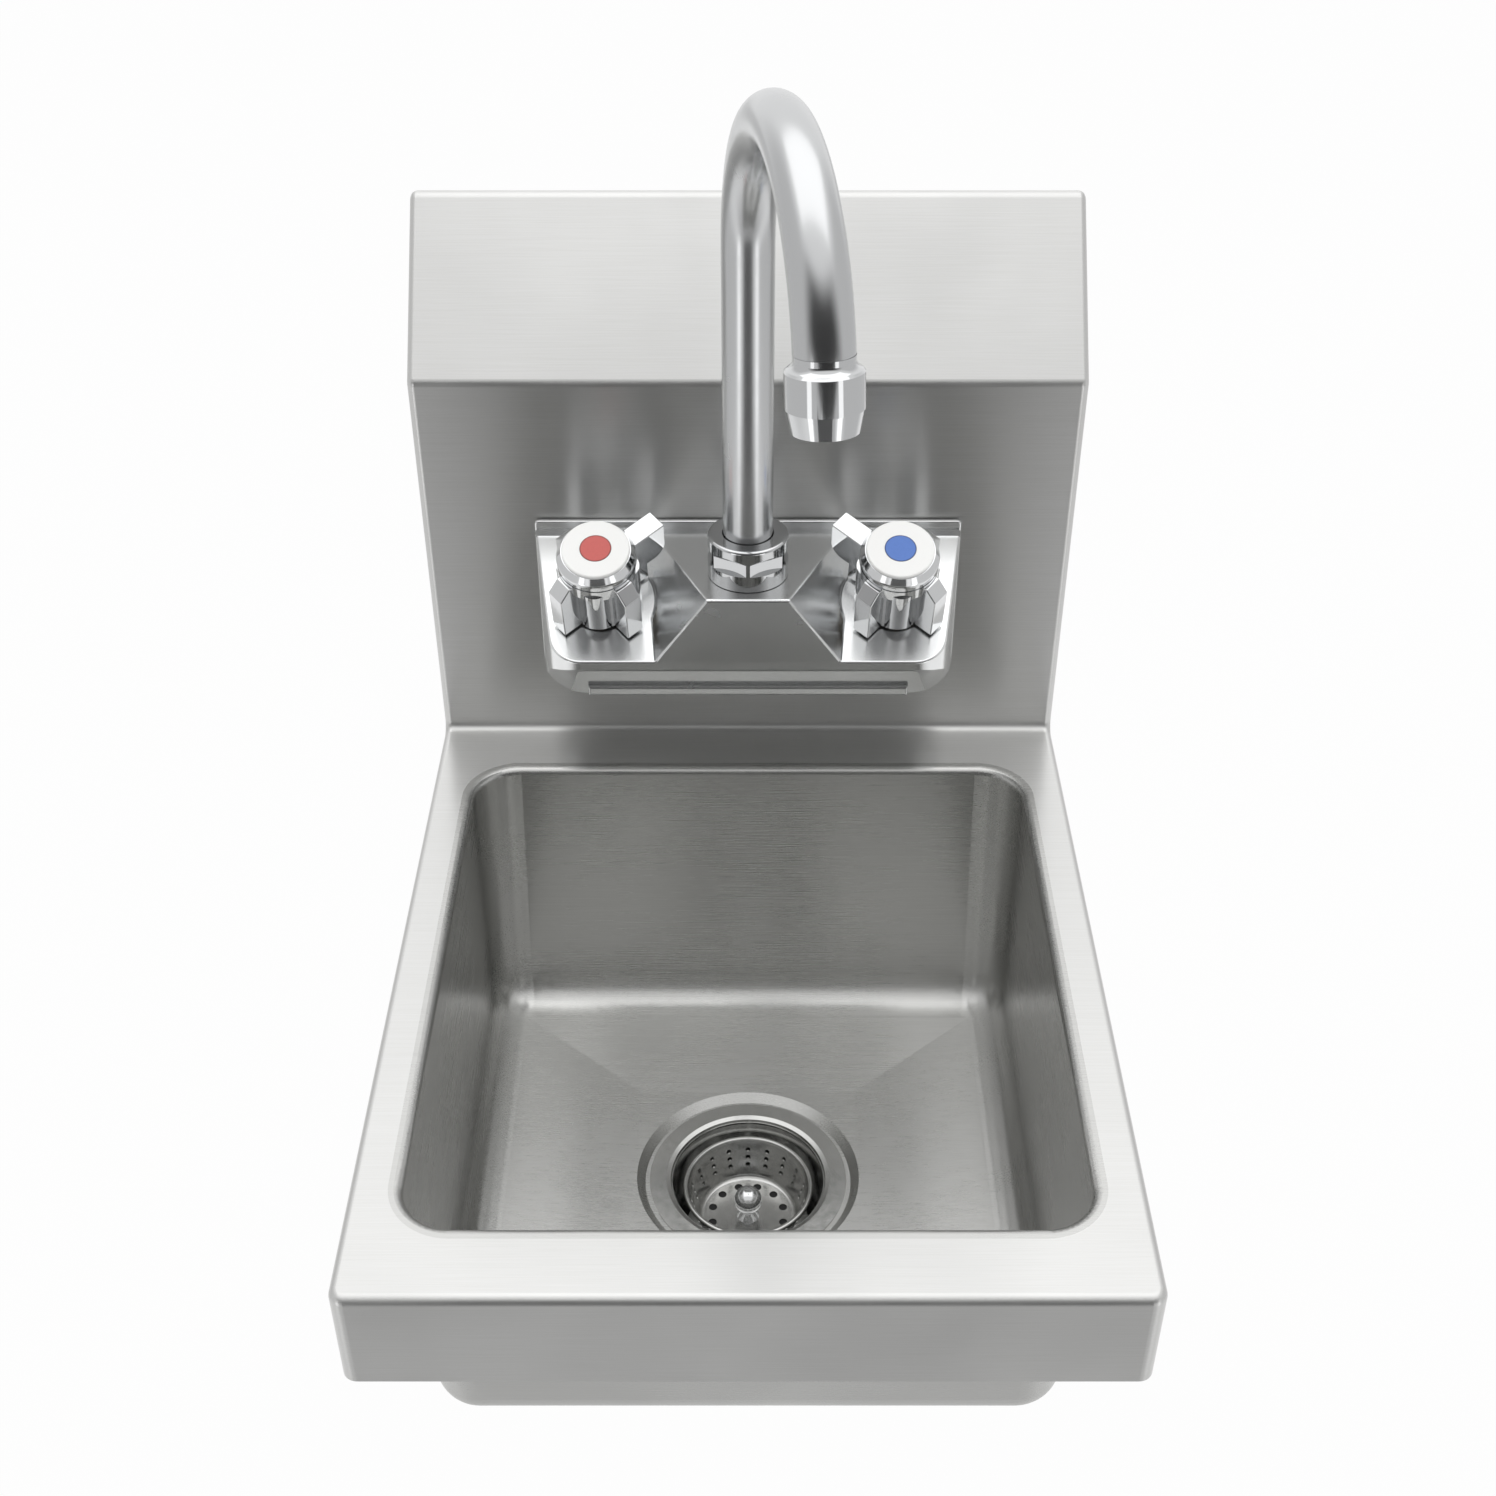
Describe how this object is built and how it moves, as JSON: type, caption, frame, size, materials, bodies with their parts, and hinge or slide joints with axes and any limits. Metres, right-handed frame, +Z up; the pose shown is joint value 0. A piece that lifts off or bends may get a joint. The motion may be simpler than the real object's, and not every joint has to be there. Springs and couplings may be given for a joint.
{
  "type": "wall-mounted hand sink",
  "caption": "Wall-mounted stainless hand sink with a drawn bowl, a sloped backsplash, a splash-mounted gooseneck tap with lobed handles and a basket strainer.",
  "frame": {"origin": "on the wall plane, at the middle of the wall bracket's line of screw holes", "axes": "+X to the right for someone using the sink, -Y out from the wall towards them, +Z up"},
  "size_m": [0.305, 0.416, 0.6346],
  "materials": {
    "brushed_stainless": "brushed stainless steel",
    "bowl_stainless": "satin drawn stainless steel",
    "galvanised_strip": "plain rolled steel",
    "polished_chrome": "polished chrome",
    "bare_brass": "machined brass",
    "black_rubber": "matt rubber",
    "foam_gasket": "closed foam rubber",
    "white_cap": "glossy white plastic",
    "red_index": "glossy red plastic",
    "blue_index": "glossy blue plastic",
    "white_acetal": "moulded plastic",
    "grey_acetal": "moulded plastic",
    "fibre_washer": "pressed fibre",
    "steel_screw": "plain steel",
    "strainer_steel": "bright pressed stainless steel"
  },
  "bodies": {
    "sink": {"backsplash": "brushed_stainless", "bowl": "bowl_stainless", "cold_shank": "bare_brass", "cold_valve": "bare_brass", "deck_pan": "brushed_stainless", "hot_shank": "bare_brass", "hot_valve": "bare_brass", "shank_locknuts": "bare_brass", "shank_washers": "steel_screw", "spout_nut": "polished_chrome", "strainer_body": "strainer_steel", "strainer_gasket": "black_rubber", "strainer_locknut": "bare_brass", "strainer_washer": "fibre_washer", "tailpiece": "polished_chrome", "tailpiece_nut": "polished_chrome", "tailpiece_washer": "white_acetal", "tap_body": "polished_chrome", "tap_gasket": "foam_gasket", "valve_seals": "black_rubber", "wall_bracket": "galvanised_strip"},
    "spout": {"spout_tube": "polished_chrome", "spout_orings": "black_rubber", "spout_split_ring": "white_acetal", "spout_collar": "polished_chrome", "aerator_shell": "polished_chrome", "aerator_insert": "grey_acetal", "aerator_washer": "black_rubber"},
    "hot_handle": {"hot_handle": "polished_chrome", "hot_stem": "bare_brass", "hot_handle_screw": "steel_screw", "hot_cap": "white_cap", "hot_index": "red_index"},
    "cold_handle": {"cold_handle": "polished_chrome", "cold_stem": "bare_brass", "cold_handle_screw": "steel_screw", "cold_cap": "white_cap", "cold_index": "blue_index"},
    "basket": {"basket": "strainer_steel", "basket_post": "polished_chrome", "basket_stopper": "black_rubber"}
  },
  "joints": [
    {"name": "spout_swivel", "type": "hinge", "parent": "sink", "child": "spout", "pos_m": [0, -0.107, -0.098], "axis": [0, 0, 1], "range_deg": [-100.6, 79.4]},
    {"name": "hot_handle_turn", "type": "hinge", "parent": "sink", "child": "hot_handle", "pos_m": [-0.0671, -0.103, -0.11627], "axis": [0, -0.4067, 0.9135], "range_deg": [0, 90]},
    {"name": "cold_handle_turn", "type": "hinge", "parent": "sink", "child": "cold_handle", "pos_m": [0.0671, -0.103, -0.11627], "axis": [0, -0.4067, 0.9135], "range_deg": [-90, 0]},
    {"name": "basket_lift", "type": "slide", "parent": "sink", "child": "basket", "axis": [0, 0, 1], "range_m": [0, 0.07]}
  ]
}
